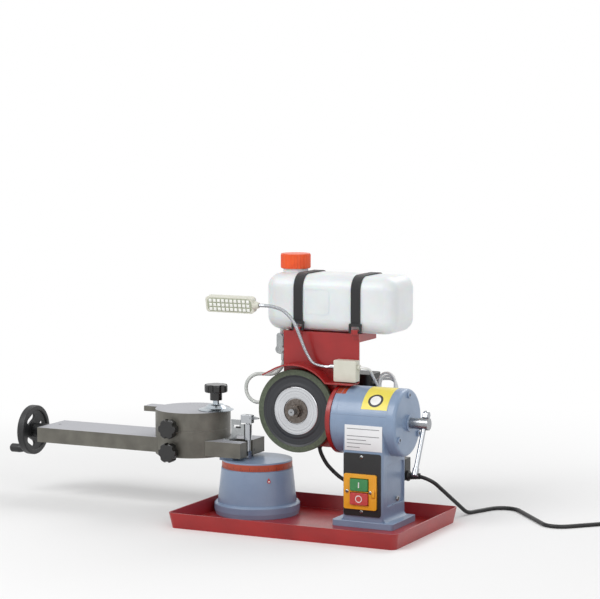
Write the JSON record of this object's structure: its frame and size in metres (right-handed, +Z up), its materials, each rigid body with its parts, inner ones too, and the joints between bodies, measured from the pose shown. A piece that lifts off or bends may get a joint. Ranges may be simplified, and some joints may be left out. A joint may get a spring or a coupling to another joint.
{
  "type": "wet grinding sharpener",
  "caption": "Wet grinding sharpener for circular saw blades: diamond wheel on a tilting head, turning table with arm and screw carriage, water bottle, lamp and switch in a red tray.",
  "frame": {"origin": "centre of the tray's underside", "axes": "+X along the tray, away from the arm; +Y to the back; +Z up"},
  "size_m": [1.05, 0.3528, 0.3917],
  "materials": {
    "red_paint": "semi gloss",
    "blue_paint": "semi gloss",
    "iron": "machined, oiled",
    "steel": "ground",
    "chrome": "polished",
    "zinc": "zinc plated",
    "bronze": "turned",
    "aluminium": "turned",
    "black_plastic": "moulded",
    "black_rubber": "matt",
    "black_paint": "satin",
    "wheel_black": "pressed resin",
    "grit": "fine grit",
    "yellow_plastic": "moulded",
    "green_plastic": "moulded",
    "red_plastic": "moulded",
    "bottle_plastic": "translucent",
    "orange_plastic": "moulded",
    "webbing": "woven",
    "clear_plastic": "clear",
    "cream_plastic": "moulded",
    "white_plastic": "moulded",
    "seal": "matt"
  },
  "bodies": {
    "base": {"tray": "red_paint", "column": "blue_paint", "barrel_cap": "blue_paint", "base_screws": "steel", "barrel_bushes": "bronze", "switch_plate": "black_plastic", "switch_frame": "yellow_plastic", "terminal_box": "black_plastic", "cord_gland": "black_rubber", "mains_cord": "black_rubber", "mains_coil": "black_rubber", "mains_plug": "black_rubber", "table_base": "blue_paint", "cable_lower": "black_rubber"},
    "sleeve": {"tilt_sleeve": "steel", "tilt_ring": "red_paint"},
    "head": {"feed_shaft": "steel", "drop_lever": "chrome", "lever_nuts": "chrome", "motor_bracket": "red_paint", "wheel_guard": "red_paint", "tank_bracket": "red_paint", "motor_body": "black_paint", "bottle": "bottle_plastic", "straps": "webbing", "tap_body": "zinc", "water_hose": "clear_plastic", "lamp_box": "cream_plastic", "lamp_lead": "white_plastic", "lead_hank": "white_plastic", "cable_upper": "black_rubber"},
    "wheel": {"spindle": "steel", "wheel_body": "wheel_black", "grinding_band": "grit", "wheel_hub": "aluminium", "spindle_nut": "steel"},
    "seal": {"cap_seal": "seal"},
    "cap": {"tank_cap": "orange_plastic"},
    "tap": {"tap_lever": "zinc"},
    "lamp": {"gooseneck": "chrome", "lamp_head": "white_plastic"},
    "start": {"start_button": "green_plastic"},
    "stop_key": {"stop_button": "red_plastic"},
    "table": {"table_disc": "blue_paint", "arm": "iron", "stop_bracket": "zinc", "stop_post": "chrome"},
    "stop": {"stop_block": "chrome"},
    "pawl": {"stop_pawl": "steel"},
    "hand": {"hand_wheel": "black_plastic", "lead_screw": "steel"},
    "crank": {"crank_handle": "black_plastic"},
    "carriage": {"saddle": "iron", "screw_nut": "bronze"},
    "low_knob": {"saddle_knob": "black_plastic"},
    "seat": {"seat": "iron", "clamp_stud": "steel"},
    "high_knob": {"seat_knob": "black_plastic"},
    "cone": {"clamp_cone": "zinc"},
    "clamp": {"clamp_knob": "black_plastic"}
  },
  "joints": [
    {"name": "head_tilt", "type": "hinge", "parent": "base", "child": "sleeve", "pos_m": [0.07, 0.051, 0.1535], "axis": [1, 0, 0], "range_deg": [-20, 20], "deforming": ["cable_lower"]},
    {"name": "feed", "type": "slide", "parent": "sleeve", "child": "head", "axis": [1, 0, 0], "range_m": [-0.01, 0], "deforming": ["cable_upper"]},
    {"name": "wheel_spin", "type": "hinge", "parent": "head", "child": "wheel", "pos_m": [-0.0488, 0.045, 0.1605], "axis": [0, 1, 0], "continuous": true},
    {"name": "cap_lift", "type": "slide", "parent": "head", "child": "seal", "axis": [0, 0, 1], "range_m": [0, 0.012]},
    {"name": "cap_turn", "type": "hinge", "parent": "seal", "child": "cap", "pos_m": [-0.077, 0.097, 0.38], "axis": [0, 0, 1], "range_deg": [0, 1080]},
    {"name": "tap_turn", "type": "hinge", "parent": "head", "child": "tap", "pos_m": [-0.0905, 0.07, 0.248], "axis": [0, -1, 0], "range_deg": [0, 90]},
    {"name": "lamp_swing", "type": "hinge", "parent": "head", "child": "lamp", "pos_m": [0, 0.046, 0.23], "axis": [1, 0, 0], "range_deg": [-8, 50]},
    {"name": "start_press", "type": "slide", "parent": "base", "child": "start", "axis": [0, 1, 0], "range_m": [0, 0.003], "stiffness_N_per_m": 300},
    {"name": "stop_press", "type": "slide", "parent": "base", "child": "stop_key", "axis": [0, 1, 0], "range_m": [0, 0.003], "stiffness_N_per_m": 300},
    {"name": "table_turn", "type": "hinge", "parent": "base", "child": "table", "pos_m": [-0.1138, 0.04, 0.078], "axis": [0, 0, 1], "range_deg": [-30, 30]},
    {"name": "stop_height", "type": "slide", "parent": "table", "child": "stop", "axis": [0, 0, 1], "range_m": [-0.0015, 0.006]},
    {"name": "pawl_swing", "type": "hinge", "parent": "stop", "child": "pawl", "pos_m": [-0.1182, 0.0315, 0.1465], "axis": [0, -1, 0], "range_deg": [0, 50]},
    {"name": "hand_turn", "type": "hinge", "parent": "table", "child": "hand", "pos_m": [-0.5, 0.04, 0.1], "axis": [1, 0, 0], "range_deg": [-17100, 360]},
    {"name": "crank_spin", "type": "hinge", "parent": "hand", "child": "crank", "pos_m": [-0.531, 0.023, 0.07171], "axis": [1, 0, 0], "continuous": true},
    {"name": "carriage_slide", "type": "slide", "parent": "table", "child": "carriage", "axis": [1, 0, 0], "range_m": [-0.19, 0.004]},
    {"name": "saddle_knob_turn", "type": "hinge", "parent": "carriage", "child": "low_knob", "pos_m": [-0.2288, -0.026, 0.0945], "axis": [0, 1, 0], "range_deg": [0, 270]},
    {"name": "seat_swivel", "type": "hinge", "parent": "carriage", "child": "seat", "pos_m": [-0.2238, 0.04, 0.135], "axis": [0, 0, 1], "range_deg": [-30, 30]},
    {"name": "seat_knob_turn", "type": "hinge", "parent": "seat", "child": "high_knob", "pos_m": [-0.2288, -0.026, 0.1307], "axis": [0, 1, 0], "range_deg": [0, 270]},
    {"name": "clamp_lift", "type": "slide", "parent": "seat", "child": "cone", "axis": [0, 0, 1], "range_m": [0, 0.006]},
    {"name": "clamp_turn", "type": "hinge", "parent": "cone", "child": "clamp", "pos_m": [-0.1838, 0.04, 0.18], "axis": [0, 0, 1], "range_deg": [0, 1080]}
  ],
  "couplings": [
    {"joint": "hand_turn", "follows": "carriage_slide", "rad_per_m": 1570.8},
    {"joint": "clamp_turn", "follows": "clamp_lift", "rad_per_m": 3141.6},
    {"joint": "cap_turn", "follows": "cap_lift", "rad_per_m": 1570.8}
  ]
}
